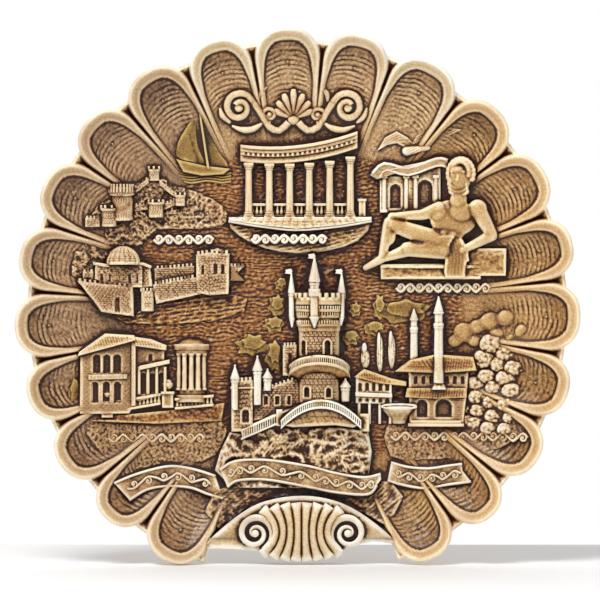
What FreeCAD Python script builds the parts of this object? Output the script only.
import FreeCAD, Part
import math
import os

# Souvenir wall plate: a scalloped dish cast in one go, with landmarks in relief.
# Frame, mm: +Z up, +X to the viewer's right, the face looks along -Y.
# The origin is the middle of the flat back disc that lies on the wall.

# ---- driving dimensions -------------------------------------------------------------------
WELL_Y = -7.0            # front face of the flat well
WELL_RADIUS = 60.0       # where the well starts to rise
FRONT_CURVE = 86.0       # radius of the arc that lifts the flange, front side
BACK_RADIUS = 46.0       # flat disc on the back
BACK_CURVE = 110.2       # radius of the arc behind the flange
FLANGE_RADIUS = 107.0    # edge of the dish between the lobes
LOBE_RADIUS = 111.4      # tip of a lobe
LOBE_SHOULDER = 101.0    # where a lobe's sides turn into its round tip
LOBE_START = 72.0        # inner end of a lobe
GROOVE_WIDTH = 1.2       # gap between two lobes
LOBE_BORDER = 2.4        # width of the raised border of a lobe
HINGE_CENTRE_X = 1.6     # middle of the shell hinge at the foot of the plate

# Angles of the grooves between the lobes, clockwise from the top: the modelled lobes are not quite equal.
GROOVES_RIGHT = [5.5, 21.0, 37.5, 53.0, 69.0, 83.5, 99.5, 114.5, 129.5, 143.5, 158.0]
GROOVES_LEFT = [200.5, 215.5, 229.5, 244.5, 259.0, 274.0, 289.0, 304.5, 319.5, 335.0, 350.0]

BURY = 14.0              # how far a relief piece reaches into the dish before it is trimmed
SLIVER = 0.4             # mm3, smaller scraps left by a trim are dropped
LOBE_SCRAP = 150.0       # mm3, the same for scraps of a lobe that a scene covers

os.makedirs("parts", exist_ok=True)


# ---- small helpers ------------------------------------------------------------------------
def vec(x, y, z):
    return FreeCAD.Vector(x, y, z)


def rise(radius, start, curve):
    """Height of an arc that leaves a flat disc of radius `start` tangentially."""
    if radius <= start:
        return 0.0
    return curve - math.sqrt(curve ** 2 - (radius - start) ** 2)


def ground(x, z):
    """Y of the dish's front face at a place."""
    return WELL_Y - rise(math.hypot(x, z), WELL_RADIUS, FRONT_CURVE)


def revolve(edges):
    """Solid of revolution about the Y axis from closed profile edges in the X-Y plane."""
    face = Part.Face(Part.Wire(edges))
    return face.revolve(vec(0, 0, 0), vec(0, 1, 0), 360)


def line(a, b):
    return Part.LineSegment(vec(a[0], a[1], 0), vec(b[0], b[1], 0)).toShape()


def front_arc(lift, end_radius):
    """Front profile edge, moved `lift` towards the viewer."""
    def at(radius):
        return vec(radius, WELL_Y - rise(radius, WELL_RADIUS, FRONT_CURVE) - lift, 0)
    middle = (WELL_RADIUS + end_radius) / 2
    return Part.Arc(at(WELL_RADIUS), at(middle), at(end_radius)).toShape()


def front_cutter(lift):
    """Everything behind the dish's front face, moved `lift` towards the viewer."""
    reach = 118.0
    edge_y = ground(FLANGE_RADIUS, 0) - lift
    return revolve([
        line((0, 20), (0, WELL_Y - lift)),
        line((0, WELL_Y - lift), (WELL_RADIUS, WELL_Y - lift)),
        front_arc(lift, FLANGE_RADIUS),
        line((FLANGE_RADIUS, edge_y), (reach, edge_y + 0.8)),
        line((reach, edge_y + 0.8), (reach, 20)),
        line((reach, 20), (0, 20)),
    ])


def tangent_y(x, z, mean_x, mean_z):
    """Y at a place on the plane that touches the dish at the mean place."""
    radius = math.hypot(mean_x, mean_z)
    if radius <= WELL_RADIUS:
        return WELL_Y
    run = radius - WELL_RADIUS
    slope = run / math.sqrt(FRONT_CURVE ** 2 - run ** 2)
    outward = ((x - mean_x) * mean_x + (z - mean_z) * mean_z) / radius
    return ground(mean_x, mean_z) - slope * outward


def tilted(points, height):
    """The outline's points on a plane that stands `height` off the dish and leans with it."""
    mean_x = sum(p[0] for p in points) / len(points)
    mean_z = sum(p[1] for p in points) / len(points)
    return [vec(x, tangent_y(x, z, mean_x, mean_z) - height, z) for x, z in points]


def prism(points, height, depth=BURY):
    """Block with an outline in X-Z, standing `height` off the dish."""
    track = tilted(points, height)
    return Part.Face(Part.makePolygon(track + track[:1])).extrude(vec(0, height + depth, 0))


def smooth_prism(points, height, depth=BURY):
    """The same with a smooth closed outline through the points."""
    curve = Part.BSplineCurve()
    curve.interpolate(tilted(points, height), PeriodicFlag=True)
    return Part.Face(Part.Wire(curve.toShape())).extrude(vec(0, height + depth, 0))


RAISED = {}


def raised(height):
    """Everything behind the dish's front face moved `height` forward, kept for the next use."""
    if height not in RAISED:
        RAISED[height] = front_cutter(height)
    return RAISED[height]


def pad(points, height):
    """Slab that follows the dish, `height` thick."""
    track = [vec(x, -40.0, z) for x, z in points]
    return Part.Face(Part.makePolygon(track + track[:1])).extrude(vec(0, 42, 0)).common(raised(height))


def box(x0, x1, z0, z1, height):
    return prism([(x0, z0), (x1, z0), (x1, z1), (x0, z1)], height)


def tower(x, z0, z1, radius, height=0.0, top_radius=None):
    """Upright round shaft whose axis stands `height` off the dish and leans with it."""
    middle = (z0 + z1) / 2
    start = vec(x, tangent_y(x, z0, x, middle) - height, z0)
    run = vec(x, tangent_y(x, z1, x, middle) - height, z1) - start
    if top_radius is None or top_radius == radius:
        return Part.makeCylinder(radius, run.Length, start, run)
    return Part.makeCone(radius, top_radius, run.Length, start, run)


def ball(x, z, radius, height=0.0):
    return Part.makeSphere(radius, vec(x, ground(x, z) - height, z))


def limb(a, b, radius_a, radius_b, height_a, height_b):
    """Tapered round limb between two places, with round ends."""
    start = vec(a[0], ground(*a) - height_a, a[1])
    end = vec(b[0], ground(*b) - height_b, b[1])
    run = end - start
    if abs(radius_a - radius_b) < 0.01:
        shaft = Part.makeCylinder(radius_a, run.Length, start, run)
    else:
        shaft = Part.makeCone(radius_a, radius_b, run.Length, start, run)
    # The end balls are a touch larger than the shaft, so that no two faces are tangent.
    return fuse([shaft, Part.makeSphere(radius_a * 1.04, start), Part.makeSphere(radius_b * 1.05, end)])


def stroke(points, half_width, height):
    """Raised ribbon of even width along a smooth open curve, following the dish."""
    curve = Part.BSplineCurve()
    curve.interpolate([vec(x, 0, z) for x, z in points])
    steps = 2 * (len(points) - 1)
    left, right = [], []
    for i in range(steps + 1):
        at = curve.FirstParameter + (curve.LastParameter - curve.FirstParameter) * i / steps
        place, along = curve.value(at), curve.tangent(at)[0]
        left.append((place.x - along.z * half_width, place.z + along.x * half_width))
        right.append((place.x + along.z * half_width, place.z - along.x * half_width))
    return pad(left + right[::-1], height)


def spiral(x, z, outer, inner, start, turns):
    """Points of a scroll that winds inwards; angles in degrees, turns may be negative."""
    count = int(8 * abs(turns)) + 1
    points = []
    for i in range(count):
        share = i / (count - 1)
        radius = outer + (inner - outer) * share
        angle = math.radians(start + 360 * turns * share)
        points.append((x + radius * math.cos(angle), z + radius * math.sin(angle)))
    return points


def ellipse_points(x, z, rx, rz, count=12, wobble=0.0):
    """Points round an ellipse; wobble makes a lumpy outline."""
    points = []
    for i in range(count):
        angle = 2 * math.pi * i / count
        swell = 1 + wobble * math.sin(3.3 * i + x)
        points.append((x + rx * swell * math.cos(angle), z + rz * swell * math.sin(angle)))
    return points


def fuse(shapes):
    whole = shapes[0]
    if len(shapes) > 1:
        whole = whole.multiFuse(shapes[1:])
    return whole


def merlons(start, end, count, size, height):
    """Row of battlements between two places, standing up from the line."""
    teeth = []
    for i in range(count):
        share = (i + 0.5) / count
        x = start[0] + (end[0] - start[0]) * share
        z = start[1] + (end[1] - start[1]) * share
        teeth.append(box(x - size / 2, x + size / 2, z - 1.0, z + size, height))
    return teeth


def arch_opening(x, z0, z1, width, height):
    """Cutter for an arched opening: a box with a half round on top."""
    half = width / 2
    outline = [(x - half, z0), (x + half, z0)]
    for i in range(9):
        angle = math.pi * i / 8
        outline.append((x + half * math.cos(angle), z1 - half + half * math.sin(angle)))
    front = ground(x, (z0 + z1) / 2) - height
    wire = Part.makePolygon([vec(px, front, pz) for px, pz in outline + outline[:1]])
    return Part.Face(wire).extrude(vec(0, 12, 0)).translated(vec(0, -10.8, 0))


def vine(x0, x1, z, swing, waves, height=1.8, half_width=0.7):
    """Running wave with a bud inside every bend: the ornament under each scene."""
    count = waves * 4
    points = []
    for i in range(count + 1):
        x = x0 + (x1 - x0) * i / count
        points.append((x, z + swing * math.sin(math.pi * i / 2)))
    pieces = [stroke(points, half_width, height)]
    for i in range(1, count, 2):
        side = 1 if (i // 2) % 2 == 0 else -1
        x = x0 + (x1 - x0) * i / count
        pieces.append(ball(x, z - side * swing * 0.55, 0.8, height - 1.2))
    return Part.makeCompound(pieces)


# ---- dish, lobes and hanger ---------------------------------------------------------------
def plate_body():
    """The dish: flat back disc, flat well and a thin flange that sweeps forward."""
    def back_at(radius):
        return vec(radius, -rise(radius, BACK_RADIUS, BACK_CURVE), 0)
    front_edge = ground(FLANGE_RADIUS, 0)
    back_edge = back_at(FLANGE_RADIUS - 2.0)
    middle = (BACK_RADIUS + FLANGE_RADIUS - 2.0) / 2
    dish = revolve([
        line((0, 0), (0, WELL_Y)),
        line((0, WELL_Y), (WELL_RADIUS, WELL_Y)),
        front_arc(0, FLANGE_RADIUS),
        line((FLANGE_RADIUS, front_edge), (FLANGE_RADIUS, front_edge + 1.0)),
        line((FLANGE_RADIUS, front_edge + 1.0), (back_edge.x, back_edge.y)),
        Part.Arc(back_at(BACK_RADIUS), back_at(middle), back_edge).toShape(),
        line((BACK_RADIUS, 0), (0, 0)),
    ])
    # Under the shell hinge the rim is cut back so that the hinge makes the outline.
    foot = Part.makeBox(74, 60, 60, vec(HINGE_CENTRE_X - 37, -50, -150))
    return dish.cut(foot)


def lobe_outline(half_angle, inset, inner):
    """Closed outline of a lobe that points along +Z: two straight sides and a round tip."""
    slope = math.tan(half_angle)
    side = GROOVE_WIDTH / 2 + inset
    inner_half = inner * slope - side
    shoulder_half = LOBE_SHOULDER * slope - side
    tip = LOBE_RADIUS - LOBE_SHOULDER - inset
    low_left, low_right = vec(-inner_half, 0, inner), vec(inner_half, 0, inner)
    left, right = vec(-shoulder_half, 0, LOBE_SHOULDER), vec(shoulder_half, 0, LOBE_SHOULDER)
    top = vec(0, 0, LOBE_SHOULDER + tip)
    centre = vec(0, 0, LOBE_SHOULDER)
    major, minor = (right, top) if shoulder_half >= tip else (top, right)
    ellipse = Part.Ellipse(major, minor, centre)
    start, end = ellipse.parameter(right), ellipse.parameter(left)
    arc = Part.Arc(ellipse, start, end) if end > start else Part.Arc(ellipse, start, end + 2 * math.pi)
    tip_edge = arc.toShape()
    if not 0 < tip_edge.CenterOfMass.z - LOBE_SHOULDER:
        tip_edge = Part.Arc(ellipse, end, start).toShape()
    edges = [
        Part.LineSegment(low_left, low_right).toShape(),
        Part.LineSegment(low_right, right).toShape(),
        tip_edge,
        Part.LineSegment(left, low_left).toShape(),
    ]
    return Part.Face(Part.Wire(Part.__sortEdges__(edges)))


def lobe_band(extra):
    """Ring that lies on the flange and carries the lobes: thin inside, thick at the rim."""
    def at(radius, lift):
        return vec(radius, ground(radius, 0) - lift - extra, 0)
    field = Part.BSplineCurve()
    field.interpolate([at(70, 0.2), at(80, 0.7), at(92, 1.3), at(102, 1.9), at(107, 2.2)])
    rim = Part.Arc(at(107, 2.2), vec(109.5, ground(108, 0) - 3.4 - extra, 0),
                   vec(112, ground(107, 0) - 1.6 - extra, 0)).toShape()
    back_y = -4.0
    return revolve([
        field.toShape(),
        rim,
        line((112, ground(107, 0) - 1.6 - extra), (112, back_y)),
        line((112, back_y), (70, back_y)),
        line((70, back_y), (70, at(70, 0.2).y)),
    ])


def rim_lobes():
    """Twenty-one scoops that overlap the edge of the dish, each with a raised border."""
    field_band, border_band = lobe_band(0.0), lobe_band(1.1)
    grooves = GROOVES_LEFT + [a + 360 for a in GROOVES_RIGHT]
    lobes = []
    for start, end in zip(grooves[:-1], grooves[1:]):
        half_angle = math.radians(end - start) / 2
        outer = lobe_outline(half_angle, 0.0, LOBE_START)
        inner = lobe_outline(half_angle, LOBE_BORDER, LOBE_START - 6)
        drop = vec(0, -40, 0)
        petal = outer.extrude(drop)
        border = outer.cut(inner).extrude(drop)
        middle = (start + end) / 2
        turned = []
        for shape in (petal, border):
            shape.rotate(vec(0, 0, 0), vec(0, 1, 0), middle)
            turned.append(shape)
        lobes.append(turned[0].common(field_band).fuse(turned[1].common(border_band)))
    return lobes


def shell_hinge():
    """Foot of the shell: a ribbed hump between two volutes, on a lens-shaped web."""
    cx, cz = HINGE_CENTRE_X, -87.5
    web_outline = [(-37, -93.6), (-29, -85.5), (-18.6, -77.7), (-9, -74), (2, -72.8), (12, -74),
                   (21.2, -77.7), (31, -84.5), (39, -92.2), (29.9, -91.5), (17.8, -94.7),
                   (11.4, -98.0), (1.8, -99.2), (-7.9, -98.0), (-15.7, -95.2), (-29.8, -94.4)]
    web_wire = Part.makePolygon([vec(x, -20.6, z) for x, z in web_outline + web_outline[:1]])
    web = Part.Face(web_wire).extrude(vec(0, 6.5, 0))
    ribs = []
    for i in range(8):
        place = i - 3.5
        points = []
        for step in (-1.0, -0.5, 0.0, 0.5, 1.0):
            spread = 2.85 + 1.4 * step ** 2
            reach = 11.4 - 0.25 * place ** 2
            points.append(vec(cx + place * spread, -21.5 - 3.0 * (1 - step ** 2), cz + reach * step))
        curve = Part.BSplineCurve()
        curve.interpolate(points)
        profile = Part.Wire(Part.Circle(points[0], curve.tangent(curve.FirstParameter)[0], 1.9).toShape())
        ribs.append(Part.Wire(curve.toShape()).makePipeShell([profile], True, False))
    volutes = []
    for side in (-1, 1):
        x = cx + side * 18.4
        volutes.append(Part.makeCylinder(5.6, 6.0, vec(x, -18.0, cz), vec(0, -1, 0)))
        volutes.append(Part.makeSphere(1.8, vec(x, -23.6, cz)))
        outer = Part.makeTorus(6.9, 1.6, vec(x, -22.0, cz), vec(0, 1, 0))
        volutes.append(outer)
    return fuse([web] + ribs + volutes)


def hanging_loop():
    """Wire loop that stands up behind the top of the flange."""
    wire_radius, loop_radius, y = 0.8, 5.8, -2.2
    foot_z, bend_z = 65.0, 79.0
    left = Part.LineSegment(vec(-loop_radius, y, foot_z), vec(-loop_radius, y, bend_z)).toShape()
    bend = Part.Arc(vec(-loop_radius, y, bend_z), vec(0, y, bend_z + loop_radius),
                    vec(loop_radius, y, bend_z)).toShape()
    right = Part.LineSegment(vec(loop_radius, y, bend_z), vec(loop_radius, y, foot_z)).toShape()
    profile = Part.Wire(Part.Circle(vec(-loop_radius, y, foot_z), vec(0, 0, 1), wire_radius).toShape())
    return Part.Wire([left, bend, right]).makePipeShell([profile], True, False)


def loop_plaster():
    """Dab of plaster that holds the feet of the loop, kept clear of the wall."""
    return Part.makeCone(10.0, 7.5, 5.6, vec(0, -6.0, 67.0), vec(0, 1, 0))


# ---- scenes of the relief -----------------------------------------------------------------
def title_flourish():
    """Carved scrollwork across the head of the plate: a wavy stem with a volute in each bend."""
    half_width, lift = 1.05, 3.0
    first_x, bend, middle_z, swing = -15.6, 8.9, 79.6, 5.2
    stem = []
    for i in range(21):
        stem.append((first_x + bend * i / 4, middle_z + swing * math.sin(math.pi * i / 4) + 0.05 * i))
    pieces = [stroke(stem, half_width, lift)]
    for i in range(5):
        side = 1 if i % 2 == 0 else -1
        x = first_x + bend * (i + 0.5)
        coil = spiral(x, middle_z - side * 0.8, 2.0, 0.9, -90 * side, side * -0.9)
        pieces.append(stroke(coil, 0.7, lift))
    pieces.append(stroke(spiral(-24.2, 84.6, 4.4, 1.7, -70, 1.2), half_width, lift))
    pieces.append(stroke(spiral(-26.4, 74.9, 3.9, 1.6, 60, -1.0), half_width, lift))
    return Part.makeCompound(pieces)


def seagull():
    """Gull in flight with both wings spread."""
    wing_left = prism([(31.6, 63.2), (35.4, 66.4), (39.3, 67.6), (45.6, 63.8), (46.6, 65.4),
                       (42.8, 67.8), (39.3, 70.2), (35.4, 68.2)], 1.2)
    wing_right = prism([(45.4, 66.0), (48.6, 64.4), (53.0, 67.4), (57.6, 69.8), (64.4, 71.0),
                        (57.6, 71.8), (50.8, 71.4), (47.4, 68.6)], 1.5)
    body = smooth_prism([(42.2, 62.8), (43.4, 61.8), (46.6, 62.4), (51.6, 63.6), (51.8, 65.4), (47.0, 65.6),
                         (43.6, 64.6)], 2.1)
    tail = prism([(51.0, 65.4), (54.8, 66.4), (54.6, 64.2), (51.0, 63.8)], 1.0)
    return fuse([wing_left, wing_right, body, tail])


def sailboat():
    """Two-sail boat heeling over small waves."""
    sail_left = smooth_prism([(-39.4, 78.6), (-43.6, 73.2), (-47.4, 66.8), (-48.2, 60.6),
                              (-42.4, 58.8), (-36.2, 56.8), (-39.4, 64.6), (-40.0, 71.8)], 2.0)
    sail_right = smooth_prism([(-38.2, 77.2), (-35.2, 70.6), (-31.4, 63.2), (-27.4, 56.8),
                               (-34.6, 56.6), (-37.4, 62.6), (-38.6, 69.6)], 1.7)
    mast = limb((-38.9, 79.2), (-35.4, 56.0), 0.5, 0.6, 2.2, 2.2)
    hull = prism([(-48.2, 60.0), (-26.7, 56.2), (-29.4, 54.0), (-38.0, 53.2), (-45.4, 54.9)], 2.4)
    water = pad([(-49.0, 54.6), (-38.0, 53.4), (-26.0, 54.0), (-28.0, 50.8), (-40.0, 50.6)], 1.0)
    return fuse([sail_left, sail_right, mast, hull, water])


def colonnade():
    """Curved row of six columns under a deep cornice, with a balustrade between them."""
    cornice = prism([(-25.8, 63.2), (-21.6, 67.5), (-14.0, 64.6), (-6.6, 63.8), (8.0, 65.6),
                     (20.8, 70.0), (26.1, 68.7), (23.6, 65.0), (20.6, 64.0), (8.0, 61.8),
                     (-4.5, 61.0), (-14.0, 61.4), (-22.4, 62.8)], 6.4)
    architrave = prism([(-22.4, 63.0), (-14.0, 61.6), (-4.5, 61.2), (8.0, 62.0), (23.0, 65.2),
                        (22.8, 61.6), (8.0, 58.8), (-4.5, 58.2), (-14.0, 58.2), (-21.2, 58.7)], 5.4)
    pieces = [cornice, architrave]
    tops = [(-19.4, 58.9), (-11.2, 58.6), (-3.1, 58.5), (4.7, 58.8), (12.8, 59.6), (21.0, 61.4)]
    for i, (x, top_z) in enumerate(tops):
        foot_z = 37.4
        pieces.append(tower(x, foot_z, top_z, 1.45, 3.4, 1.25))
        pieces.append(box(x - 1.8, x + 1.8, top_z - 1.6, top_z + 0.3, 5.2))
        pieces.append(box(x - 1.9, x + 1.9, foot_z - 0.6, foot_z + 1.2, 5.2))
        if i < len(tops) - 1:
            pieces.append(box(x, tops[i + 1][0], 41.2, 42.6, 3.2))
            for step in (0.25, 0.5, 0.75):
                baluster_x = x + (tops[i + 1][0] - x) * step
                pieces.append(tower(baluster_x, 37.6, 41.6, 0.6, 2.2))
    pieces.append(pad([(-20.5, 37.6), (21.5, 37.6), (21.5, 49.0), (14.0, 46.5), (8.0, 50.5),
                       (0.0, 46.8), (-7.0, 48.4), (-14.0, 45.8), (-20.5, 48.0)], 1.0))
    pieces.append(box(24.4, 27.0, 37.2, 43.6, 3.4))
    return fuse(pieces)


def colonnade_terrace():
    """Tiled floor on a boat-shaped base of rock."""
    floor = prism([(-27.0, 36.9), (29.6, 37.1), (29.4, 35.6), (16.0, 33.4), (-0.4, 31.8),
                   (-14.0, 33.4), (-27.4, 35.4)], 6.6)
    rock = smooth_prism([(-27.6, 34.6), (-14.0, 34.2), (0.0, 32.6), (16.0, 33.6), (29.8, 34.6),
                         (24.0, 27.4), (12.0, 23.4), (-0.6, 22.2), (-13.0, 24.4), (-23.0, 29.4)], 4.2)
    return fuse([floor, rock])


def caption_colonnade():
    return vine(-18.6, 12.0, 28.2, 2.0, 4, 6.0)


def caption_hill():
    return vine(-57.6, -33.2, 28.0, 2.0, 3, 2.0)


def caption_reclining():
    return vine(39.2, 76.8, 8.4, 2.1, 5)


def caption_villa():
    return vine(-75.0, -36.8, -50.8, 1.9, 5)


def caption_palace():
    return vine(37.2, 91.2, -50.4, 1.9, 7)


def caption_seat():
    """Strip kept clear across the inner ends of the lobes, where the palace's vine lies."""
    return pad([(36.2, -53.6), (92.6, -53.6), (92.6, -47.2), (36.2, -47.2)], 6.0)


def hill():
    """Rocky slope that carries the hill fort."""
    slope = pad([(-84.0, 33.0), (-79.0, 42.0), (-70.0, 46.0), (-61.0, 52.6), (-55.0, 53.6),
                 (-49.0, 49.6), (-39.3, 47.2), (-29.6, 41.6), (-27.6, 35.6), (-33.0, 32.6),
                 (-45.0, 31.8), (-56.0, 31.6), (-62.0, 27.6), (-75.0, 27.8)], 2.2)
    return slope


def hill_fort():
    """Watch towers and lengths of wall climbing the slope."""
    pieces = [tower(-57.0, 51.6, 56.2, 2.2, 1.4)]
    pieces += [tower(-69.8, 36.0, 46.4, 4.6, 1.2), tower(-70.4, 45.8, 49.9, 5.4, 1.2, 5.0)]
    pieces += [tower(-74.8, 33.4, 40.0, 3.0, 2.4), tower(-74.8, 39.6, 41.6, 3.5, 2.4)]
    pieces += [box(-84.2, -78.3, 32.8, 36.9, 3.2)]
    pieces += [tower(-56.2, 36.9, 43.0, 2.9, 2.4), tower(-46.6, 41.4, 45.8, 1.9, 2.6)]
    for start, end in (((-64.6, 41.0), (-59.0, 41.6)), ((-53.6, 41.2), (-48.4, 43.4)),
                       ((-54.8, 51.6), (-47.4, 45.4)), ((-65.0, 47.4), (-59.0, 52.4))):
        pieces.append(prism([(start[0], start[1] - 1.6), (end[0], end[1] - 1.6),
                             (end[0], end[1] + 0.6), (start[0], start[1] + 0.6)], 3.0))
        pieces += merlons((start[0], start[1] + 0.4), (end[0], end[1] + 0.4), 4, 0.8, 3.0)
    return fuse(pieces)


def domed_fortress():
    """Ribbed dome on a many-sided drum behind a walled forecourt."""
    drum = prism([(-80.0, 18.8), (-71.2, 16.8), (-61.6, 20.4), (-58.8, 18.6), (-57.4, 9.4),
                  (-70.0, 9.0), (-80.6, 12.4)], 5.0)
    dome = Part.makeSphere(7.2, vec(-69.4, ground(-69.4, 22) - 1.8, 18.6))
    dome = dome.common(Part.makeBox(20, 30, 12, vec(-79.4, -30, 18.2)))
    turret = box(-85.0, -81.0, 10.6, 15.6, 3.6)
    front = prism([(-87.3, 12.0), (-65.3, 9.4), (-64.8, -2.7), (-77.7, -0.9)], 6.2)
    low_tower = tower(-59.6, -0.4, 8.3, 2.6, 3.4)
    pieces = [drum, dome, turret, front, low_tower]
    pieces += merlons((-87.0, 12.0), (-65.6, 9.6), 11, 1.0, 6.2)
    pieces += merlons((-80.0, 18.6), (-71.4, 16.8), 5, 0.9, 5.0)
    return fuse(pieces)


def fort_walls():
    """Long battlemented curtain wall with a square tower."""
    curtain = prism([(-57.6, 10.6), (-40.6, 13.4), (-38.0, 6.2), (-56.1, 2.3)], 4.4)
    inner = prism([(-57.0, 10.9), (-57.0, 17.0), (-41.0, 18.2), (-40.8, 12.4)], 2.4)
    tall = prism([(-40.5, 22.4), (-35.0, 23.6), (-31.8, 24.8), (-26.8, 23.0), (-27.2, 6.2),
                  (-35.0, 5.4), (-40.2, 6.8)], 5.4)
    small = box(-27.4, -20.9, 11.4, 18.4, 2.6)
    rock = pad([(-77.0, -0.6), (-66.0, -2.4), (-57.0, 2.6), (-40.0, 6.6), (-28.0, 6.6),
                (-19.4, 5.6), (-21.0, -1.0), (-34.0, -5.0), (-52.0, -6.0), (-68.0, -5.6)], 1.6)
    pieces = [curtain, inner, tall, small, rock]
    pieces += merlons((-57.0, 10.6), (-41.0, 13.3), 11, 0.9, 4.4)
    pieces += merlons((-56.6, 17.0), (-41.4, 18.2), 9, 0.8, 2.4)
    return fuse(pieces)


def villa():
    """Two-storey house with a loggia, a hipped roof and a pillared porch."""
    main = prism([(-86.4, -17.5), (-65.0, -15.6), (-65.0, -37.4), (-86.4, -38.2)], 3.6)
    roof = prism([(-87.2, -18.0), (-76.3, -9.6), (-64.4, -10.4), (-63.2, -15.8)], 5.0)
    wing = prism([(-64.8, -14.4), (-52.6, -15.8), (-52.6, -24.0), (-64.8, -24.0)], 3.0)
    wing_roof = prism([(-64.9, -10.6), (-52.0, -14.0), (-51.8, -16.0), (-64.8, -15.0)], 4.0)
    loggia = [arch_opening(x, -25.0, -17.4, 3.2, 1.4) for x in (-80.6, -75.9, -71.2)]
    lower = [arch_opening(x, -35.8, -28.0, 3.4, 1.4) for x in (-80.4, -75.6, -70.8)]
    house = fuse([main, roof, wing, wing_roof])
    for cutter in loggia + lower:
        house = house.cut(cutter)
    band = box(-84.0, -66.6, -26.9, -25.4, 4.6)
    porch = prism([(-63.4, -21.2), (-50.6, -18.8), (-50.6, -21.4), (-63.4, -24.4)], 5.4)
    pieces = [house, band, porch]
    for x in (-62.0, -58.4, -54.8, -51.6):
        pieces.append(tower(x, -36.8, -21.6, 0.85, 3.6))
    pieces.append(box(-63.8, -50.6, -37.6, -36.0, 5.0))
    return fuse(pieces)


def villa_rotunda():
    """Round temple with a finial on its low roof."""
    x = -42.4
    lift = 1.6
    pieces = [tower(x, -13.4, -10.6, 7.4, lift - 3.4, 2.0), tower(x, -16.9, -13.2, 7.6, lift - 1.0)]
    pieces += [ball(x, -9.6, 1.3, 3.0), tower(x, -37.0, -31.4, 8.4, lift - 1.8)]
    for column_x in (-48.5, -44.4, -40.0, -36.0):
        offset = math.sqrt(max(7.2 ** 2 - (column_x - x) ** 2, 1.0)) - 2.4
        pieces.append(tower(column_x, -32.0, -16.4, 1.05, offset))
    return fuse(pieces)


def villa_balustrade():
    """Garden balustrade with two urns on pedestals."""
    pieces = []
    for x, z in ((-76.4, -33.6), (-51.6, -28.6)):
        pieces.append(tower(x, z - 6.0, z, 1.7, 5.0))
        pieces.append(ball(x, z + 1.6, 2.0, 5.0))
        pieces.append(box(x - 2.2, x + 2.2, z - 8.4, z - 5.8, 7.0))
    rail = prism([(-74.4, -37.4), (-53.6, -34.4), (-53.6, -36.0), (-74.4, -39.0)], 6.6)
    foot = prism([(-74.4, -41.4), (-53.6, -38.0), (-53.6, -39.4), (-74.4, -42.8)], 6.6)
    pieces += [rail, foot]
    for i in range(7):
        x = -72.6 + 2.9 * i
        z = -42.0 + 0.42 * i
        pieces.append(tower(x, z, z + 4.6, 0.75, 5.6))
    return fuse(pieces)


def terrace_wall():
    """Low wall and ground in front of the house."""
    left = prism([(-84.7, -39.0), (-76.3, -42.3), (-74.6, -44.2), (-82.6, -44.2)], 3.4)
    right = prism([(-76.3, -42.3), (-28.7, -37.6), (-30.0, -44.6), (-74.6, -44.2)], 3.0)
    bush = pad(ellipse_points(-88.4, -34.6, 2.8, 7.4, 10, 0.1), 2.2)
    return fuse([left, right, bush])


def castle_keep():
    """Round keep with a battlemented crown over a ring balcony and a lower drum."""
    body = tower(8.6, -18.8, -2.0, 8.0, 3.0)
    corbel = tower(8.6, -6.4, -2.4, 8.4, 3.0, 9.3)
    crown = tower(8.6, -2.6, 4.6, 9.8, 3.0)
    balcony = tower(8.6, -23.2, -18.6, 12.2, 1.8)
    under = tower(8.6, -26.4, -23.1, 8.6, 1.8, 11.6)
    drum = tower(8.6, -36.4, -26.0, 7.8, 2.8)
    keep = fuse([body, corbel, crown, balcony, under, drum])
    for x, z0, z1 in ((4.2, -16.8, -9.8), (12.4, -16.8, -9.8), (4.8, -34.0, -28.6), (12.2, -34.0, -28.6)):
        opening = arch_opening(x, z0, z1, 2.6, 0.0)
        opening.translate(vec(0, -7.4 + 6.0, 0))
        keep = keep.cut(opening)
    teeth = []
    for i in range(9):
        angle = math.radians(-72 + 18 * i)
        x = 8.6 + 9.0 * math.sin(angle)
        y = ground(8.6, 4) - 3.0 - 9.0 * math.cos(angle)
        tooth = Part.makeBox(1.7, 1.4, 2.4, vec(-0.85, -0.7, 4.4))
        tooth.rotate(vec(0, 0, 0), vec(0, 0, 1), math.degrees(angle))
        tooth.translate(vec(x, y, 0))
        teeth.append(tooth)
    return fuse([keep] + teeth)


def castle_turrets():
    """Three slender corner turrets with cone caps."""
    pieces = [tower(6.4, 5.4, 11.9, 2.3, 10.2), tower(6.4, 11.7, 21.6, 2.7, 10.2, 0.3)]
    pieces += [ball(6.4, 22.0, 0.7, 10.2), prism([(6.2, 21.6), (2.6, 20.6), (6.2, 19.8)], 10.8, -9.6)]
    pieces += [tower(-2.4, -3.8, 7.8, 1.6, 5.6), tower(-2.5, 7.6, 16.4, 1.9, 5.6, 0.25)]
    pieces += [tower(-2.2, -7.2, -3.8, 0.3, 5.6, 1.6)]
    pieces += [tower(18.0, -3.6, 7.8, 1.6, 5.6), tower(17.2, 7.6, 16.4, 2.0, 5.6, 0.25)]
    pieces += [tower(18.0, -6.6, -3.6, 0.3, 5.6, 1.6)]
    return fuse(pieces)


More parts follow.
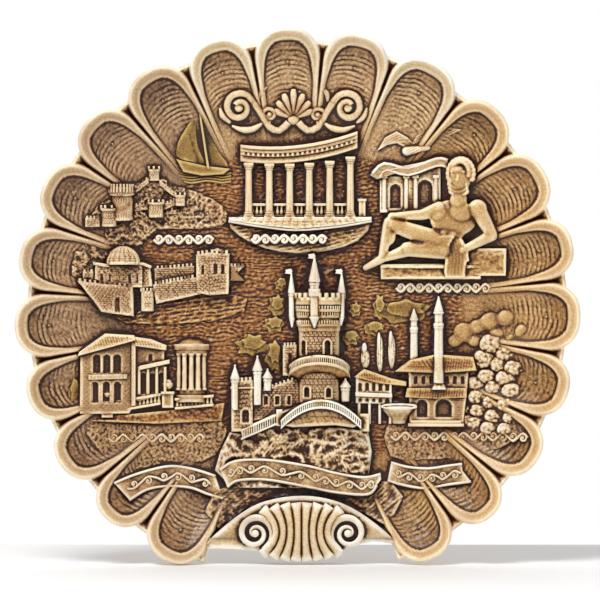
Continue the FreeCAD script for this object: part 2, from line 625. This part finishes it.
def castle_gate_wing():
    """Gate tower and brick wing with pencil turrets."""
    pieces = [box(-26.3, -17.4, -47.4, -28.1, 5.2), box(-26.9, -16.8, -29.6, -27.4, 5.9)]
    pieces += [tower(-24.9, -39.8, -27.0, 1.7, 5.0), tower(-24.9, -27.0, -21.5, 2.0, 5.0, 0.2)]
    pieces += [tower(-15.8, -37.8, -23.5, 1.8, 5.0), tower(-15.8, -23.5, -17.9, 2.1, 5.0, 0.2)]
    pieces += [tower(-11.8, -32.2, -26.0, 1.9, 4.4), tower(-11.8, -26.0, -22.8, 2.2, 4.4, 0.2)]
    pieces += [prism([(-17.6, -33.4), (0.8, -26.8), (0.8, -38.6), (-6.0, -41.0), (-17.6, -46.0)], 4.2)]
    pieces += [box(-5.9, 0.2, -26.0, -13.8, 5.0)]
    pieces += merlons((-5.9, -13.9), (0.0, -13.9), 4, 0.9, 5.0)
    pieces += merlons((-17.0, -33.0), (0.6, -26.9), 8, 0.9, 4.2)
    wing = fuse(pieces)
    for x, z0, z1, width in ((-21.8, -46.4, -40.0, 3.8), (-14.0, -38.6, -35.0, 1.6),
                             (-9.2, -36.8, -33.2, 1.6), (-4.4, -35.0, -31.4, 1.6)):
        wing = wing.cut(arch_opening(x, z0, z1, width, 2.6))
    return wing


def castle_terrace():
    """Balustraded terrace that hangs over the cliff, with an end bastion."""
    deck = prism([(-1.6, -35.6), (9.3, -35.2), (18.0, -36.6), (24.6, -40.6), (25.4, -43.2),
                  (14.0, -44.6), (1.0, -43.6), (-3.4, -39.0)], 12.0)
    skirt = prism([(-2.6, -40.2), (25.0, -43.0), (25.6, -47.2), (10.0, -47.0), (-1.0, -44.6)], 10.4)
    bastion = tower(26.6, -48.4, -40.8, 2.3, 6.0)
    turret = [tower(19.0, -36.6, -30.0, 2.1, 6.4), tower(19.0, -30.1, -26.6, 2.4, 6.4, 0.3)]
    posts = []
    for i in range(12):
        x = 0.6 + 2.0 * i
        posts.append(box(x - 0.4, x + 0.4, -42.6 - 0.05 * i, -38.4 - 0.2 * i, 12.8))
    return fuse([deck, skirt, bastion] + turret + posts)


def ramp():
    """Balustraded ramp that climbs to the castle gate."""
    body = prism([(-23.0, -50.4), (-6.9, -43.6), (-1.8, -41.6), (-1.8, -38.2), (-6.9, -40.6),
                  (-22.7, -47.5)], 6.2)
    posts = []
    for i in range(10):
        x = -21.6 + 2.1 * i
        z = -50.0 + 0.9 * i
        posts.append(box(x - 0.45, x + 0.45, z, z + 3.4, 7.0))
    return fuse([body] + posts)


def cliff():
    """Sheer rock under the castle."""
    face = prism([(-27.2, -48.8), (-22.0, -47.0), (-6.9, -42.0), (1.0, -44.0), (14.0, -46.0),
                  (27.8, -46.0), (30.2, -56.4), (29.0, -64.8), (24.0, -70.6), (8.0, -72.0),
                  (-12.0, -71.4), (-29.0, -68.4), (-33.3, -63.2)], 4.4)
    crags = []
    for x, z, radius in ((-20, -54, 4.4), (-8, -51, 5.0), (4, -52, 5.4), (16, -52, 5.0), (24, -56, 3.8)):
        crags.append(tower(x, z - 6, z + 4, radius * 0.6, 2.8, radius))
    return fuse([face] + crags)


def minarets():
    """Two slim minarets with galleries and cone caps."""
    pieces = []
    for x, top, eave, rail, foot, radius in ((56.0, 5.8, -2.8, -6.2, -29.8, 2.0), (46.0, 0.8, -3.8, -7.8, -24.6, 1.5)):
        pieces.append(tower(x, foot, eave, radius, 1.6))
        pieces.append(tower(x, eave, top, radius + 0.3, 1.6, 0.2))
        pieces.append(tower(x, rail - 1.8, rail + 0.6, radius * 0.9, 1.6, radius + 0.9))
    return fuse(pieces)


def palace():
    """Low palace with two tiled roofs over an arcade."""
    upper = box(44.0, 68.0, -30.8, -24.4, 2.8)
    upper_roof = prism([(38.4, -24.2), (46.0, -19.4), (66.0, -18.3), (70.0, -19.6), (70.0, -24.8)], 4.2)
    lower_roof = prism([(42.0, -34.9), (44.4, -30.4), (67.0, -30.4), (68.0, -34.9)], 5.0)
    arcade = box(44.4, 66.4, -41.8, -34.6, 3.6)
    steps = [box(44.0 - 1.2 * i, 60.0 - 0.4 * i, -43.2 - 1.1 * i, -41.6 - 1.1 * i, 4.4 + 0.5 * i) for i in range(2)]
    body = fuse([upper, upper_roof, lower_roof, arcade] + steps)
    for x in (47.6, 53.2, 58.8, 63.6):
        body = body.cut(arch_opening(x, -41.4, -35.8, 3.4, 1.2))
    for x in (47.6, 51.2, 54.8, 58.4, 62.0, 65.4):
        body = body.cut(arch_opening(x, -29.8, -26.0, 1.5, 1.6))
    return body


def palace_gallery():
    """Timber gallery house on posts."""
    roof = prism([(22.4, -24.4), (26.6, -22.2), (37.7, -27.2), (42.6, -29.0), (42.4, -30.8), (37.4, -30.6)], 5.0)
    wall = prism([(25.0, -25.2), (37.3, -29.6), (37.3, -36.6), (25.0, -34.8)], 3.6)
    band = prism([(24.8, -31.4), (38.0, -33.6), (38.0, -35.4), (24.8, -33.4)], 4.6)
    house = fuse([roof, wall])
    for i in range(4):
        x = 27.2 + 2.9 * i
        house = house.cut(arch_opening(x, -31.6 - 0.6 * i, -27.6 - 0.8 * i, 1.7, 1.8))
    posts = [tower(x, -45.4, -35.0, 0.7, 2.4) for x in (31.0, 34.6)]
    return fuse([house, band] + posts)


def fountain_bowl():
    """Stone fountain with a wide bowl on a foot."""
    x = 40.2
    return fuse([tower(x, -41.2, -38.4, 4.4, 1.6, 6.2), tower(x, -38.5, -37.4, 6.4, 1.6),
                 tower(x, -45.6, -40.8, 3.6, 1.6, 2.6), box(x - 5.0, x + 5.0, -46.0, -44.4, 5.0)])


def poplars():
    """Three narrow trees behind the gallery."""
    trees = []
    for x, z0, z1, half in ((32.8, -22.4, -8.0, 1.5), (37.4, -25.4, -7.6, 1.6), (26.8, -22.6, -13.9, 1.7)):
        trees.append(smooth_prism([(x, z1), (x + half, (z0 + 2 * z1) / 3), (x + half, (2 * z0 + z1) / 3),
                                   (x, z0), (x - half, (2 * z0 + z1) / 3), (x - half, (z0 + 2 * z1) / 3)], 2.2))
    return Part.makeCompound(trees)


def leafy_tree():
    """Round-headed tree built of clumps of leaves, with a bush at its foot."""
    clumps = []
    for x, z, radius in ((76, -17, 5.0), (70, -22, 5.2), (81, -22, 5.0), (75, -27, 6.0), (83, -30, 4.6),
                         (67, -30, 4.6), (72, -35, 5.4), (80, -37, 5.4), (66, -39, 4.4), (73, -42, 4.2),
                         (81, -42, 3.8), (70, -16, 3.2)):
        clumps.append(ball(x, z, radius, 0.6))
    return fuse(clumps)


def clouds():
    """Soft banks of hills and cloud behind the palace."""
    banks = []
    for x, z, rx, rz in ((66.0, -6.0, 7.0, 4.4), (76.0, -3.6, 8.4, 4.6), (86.4, -7.6, 6.4, 5.6), (64.0, -13.0, 5.0, 3.4)):
        banks.append(pad(ellipse_points(x, z, rx, rz, 10, 0.08), 1.4))
    return fuse(banks)


def foliage():
    """Clumps of leaves round the castle."""
    clumps = []
    for x, z, rx, rz in ((-6.6, 10.4, 2.9, 2.8), (-8.2, 2.0, 3.6, 4.0), (-9.4, -6.0, 4.2, 3.0),
                         (-18.2, -14.0, 6.2, 4.2), (-8.6, -17.4, 2.4, 5.4), (23.6, 0.4, 2.8, 2.8),
                         (30.6, -4.8, 4.4, 2.6), (33.0, 1.6, 2.6, 3.6), (21.6, -11.0, 3.2, 3.0),
                         (44.0, -1.2, 4.6, 3.0)):
        clumps.append(pad(ellipse_points(x, z, rx, rz, 10, 0.1), 1.4))
    return Part.makeCompound([fuse(clumps[:5]), fuse(clumps[5:])])


def reclining_figure():
    """Draped bearded figure reclining on a slab, one knee raised."""
    lift = 3.6
    head = [ball(65.0, 53.5, 4.7, lift + 2.3), ball(63.2, 49.7, 3.1, lift + 2.7)]
    neck = [limb((65.6, 49.6), (66.1, 43.6), 2.7, 3.3, lift + 1.1, lift + 0.1)]
    trunk = [limb((59.2, 41.4), (69.8, 41.8), 3.7, 3.5, lift + 0.1, lift + 0.4),
             limb((64.2, 38.9), (61.6, 29.8), 6.3, 5.3, lift - 1.7, lift - 1.4)]
    arms = [limb((57.0, 41.1), (49.3, 38.2), 2.8, 2.3, lift + 0.5, lift + 1.3),
            limb((49.1, 38.0), (38.9, 37.3), 2.1, 1.6, lift + 1.2, lift + 1.9),
            limb((73.6, 41.0), (78.6, 30.4), 3.3, 2.6, lift - 0.5, lift - 0.3),
            limb((78.4, 29.9), (67.2, 25.4), 2.4, 1.8, lift - 0.1, lift + 1.6),
            limb((66.9, 25.2), (66.2, 20.4), 1.6, 1.2, lift + 1.7, lift + 1.1)]
    legs = [limb((60.3, 25.1), (42.2, 23.7), 4.9, 3.9, lift + 0.1, lift + 1.1),
            limb((54.3, 29.9), (37.4, 35.6), 4.1, 3.1, lift - 0.1, lift + 1.5),
            limb((36.3, 34.9), (35.4, 22.3), 2.9, 2.1, lift + 1.8, lift + 0.7),
            limb((41.7, 23.2), (33.4, 20.1), 3.3, 2.2, lift + 0.9, lift + 0.1),
            limb((33.8, 19.3), (26.4, 15.4), 1.9, 1.3, lift - 0.1, lift - 0.7)]
    cloth = [prism([(60.2, 21.4), (65.6, 21.0), (66.2, 12.0), (62.6, 11.2), (60.6, 13.0)], 5.0)]
    return fuse(head + neck + trunk + arms + legs + cloth)


def plinth():
    """Stepped stone slab and block under the figure."""
    return fuse([prism([(33.0, 18.6), (60.0, 19.0), (73.0, 18.2), (72.0, 12.2), (34.6, 12.4)], 3.4),
                 prism([(67.5, 24.4), (83.1, 24.8), (82.4, 13.6), (68.0, 13.6)], 3.8)])


def arch_pavilion():
    """Open pavilion with two arches, behind the figure."""
    cornice = prism([(29.6, 54.4), (34.4, 58.4), (44.1, 57.0), (55.1, 60.4), (59.7, 59.4),
                     (58.6, 56.8), (55.0, 57.2), (44.4, 53.4), (34.6, 55.0), (31.6, 53.0)], 4.2)
    left = prism([(32.8, 54.6), (44.1, 53.6), (44.1, 38.6), (32.8, 38.6)], 2.8)
    right = prism([(44.1, 53.6), (57.0, 57.0), (57.0, 38.6), (44.1, 38.6)], 2.2)
    hall = fuse([cornice, left, right])
    hall = hall.cut(arch_opening(39.1, 38.0, 50.0, 3.8, 0.6))
    hall = hall.cut(arch_opening(50.8, 38.0, 51.6, 5.6, 0.6))
    pilasters = [box(x - 1.0, x + 1.0, 38.6, 54.0, 3.4) for x in (34.0, 43.6, 55.6)]
    return fuse([hall] + pilasters)


def ribbon(top, bottom, notch, height):
    """Banner that follows the dish, with a swallowtail end where one is given."""
    outline = top + (notch if notch else []) + bottom
    return pad(outline, height)


def ribbon_left():
    return ribbon([(-72.7, -68.3), (-64.0, -64.8), (-56.2, -62.6), (-49.2, -61.7), (-40.7, -63.1),
                   (-32.6, -65.9)],
                  [(-19.6, -71.6), (-21.8, -74.0), (-28.9, -75.1), (-36.0, -73.0), (-42.6, -70.6),
                   (-51.1, -70.0), (-59.6, -71.1), (-66.6, -75.2), (-69.4, -71.6)],
                  [(-31.2, -68.6)], 2.7)


def ribbon_centre():
    return ribbon([(-31.2, -63.1), (-24.6, -59.6), (-12.4, -59.1), (4.6, -61.7), (11.6, -64.0),
                   (26.1, -66.2), (32.9, -64.6), (35.8, -62.1)],
                  [(32.9, -67.4), (28.5, -73.0), (23.7, -73.8), (4.6, -70.6), (-12.4, -67.4),
                   (-23.7, -67.8), (-28.0, -70.6)],
                  [(35.6, -65.0)], 5.6)


def ribbon_right():
    return ribbon([(36.8, -60.1), (43.6, -62.1), (51.8, -62.6), (59.0, -61.6), (65.4, -60.6)],
                  [(69.7, -68.1), (60.0, -69.3), (51.3, -71.0), (43.0, -70.0), (35.3, -67.9)],
                  [(66.2, -64.0)], 2.7)


# ---- build, trim and write ----------------------------------------------------------------
BEHIND = front_cutter(0.0)

# Pieces nearer the viewer come first: later ones are trimmed to meet them.
RELIEF = [
    ("shell_hinge", shell_hinge), ("title_flourish", title_flourish), ("seagull", seagull),
    ("sailboat", sailboat), ("colonnade", colonnade), ("caption_colonnade", caption_colonnade),
    ("colonnade_terrace", colonnade_terrace), ("caption_hill", caption_hill),
    ("hill_fort", hill_fort), ("hill", hill), ("caption_reclining", caption_reclining),
    ("reclining_figure", reclining_figure), ("plinth", plinth), ("arch_pavilion", arch_pavilion),
    ("domed_fortress", domed_fortress), ("fort_walls", fort_walls),
    ("caption_villa", caption_villa), ("villa_balustrade", villa_balustrade),
    ("villa_rotunda", villa_rotunda), ("terrace_wall", terrace_wall), ("villa", villa),
    ("castle_turrets", castle_turrets), ("castle_keep", castle_keep),
    ("castle_terrace", castle_terrace), ("castle_ramp", ramp),
    ("castle_gate_wing", castle_gate_wing), ("ribbon_centre", ribbon_centre),
    ("cliff", cliff), ("ribbon_left", ribbon_left), ("ribbon_right", ribbon_right),
    ("caption_palace", caption_palace), ("leafy_tree", leafy_tree), ("minarets", minarets),
    ("fountain_bowl", fountain_bowl), ("palace", palace), ("palace_gallery", palace_gallery),
    ("poplars", poplars), ("clouds", clouds), ("foliage", foliage),
]


def tidy(shape):
    """Keep the real solids and drop scraps left by trimming."""
    solids = [s for s in shape.Solids if s.Volume > SLIVER]
    return Part.makeCompound(solids) if len(solids) > 1 else solids[0]


def overlaps(a, b):
    return a.BoundBox.intersect(b.BoundBox)


def write(name, shape):
    shape.exportStep("parts/" + name + ".step")
    bounds = shape.BoundBox
    print("%-20s valid=%s solids=%d faces=%d volume=%.1f  x %.1f..%.1f y %.1f..%.1f z %.1f..%.1f" % (
        name, shape.isValid(), len(shape.Solids), len(shape.Faces), shape.Volume,
        bounds.XMin, bounds.XMax, bounds.YMin, bounds.YMax, bounds.ZMin, bounds.ZMax), flush=True)


def main():
    loop = hanging_loop()
    dish = plate_body()
    placed = {}
    for name, make in RELIEF:
        raw = make()
        piece = raw
        for other in placed.values():
            if overlaps(piece, other):
                piece = piece.cut(other)
        placed[name] = raw
        write(name, tidy(piece.cut(BEHIND)))
    placed["caption_palace"] = caption_seat()
    lobes = []
    for lobe in rim_lobes():
        for other in placed.values():
            if overlaps(lobe, other):
                lobe = lobe.cut(other)
        lobes += [s for s in lobe.cut(BEHIND).Solids if s.Volume > LOBE_SCRAP]
    write("rim_lobes", Part.makeCompound(lobes))
    plaster = tidy(loop_plaster().cut(dish).cut(loop))
    write("plate_body", tidy(dish.cut(loop)))
    write("loop_plaster", plaster)
    write("hanging_loop", loop)


main()
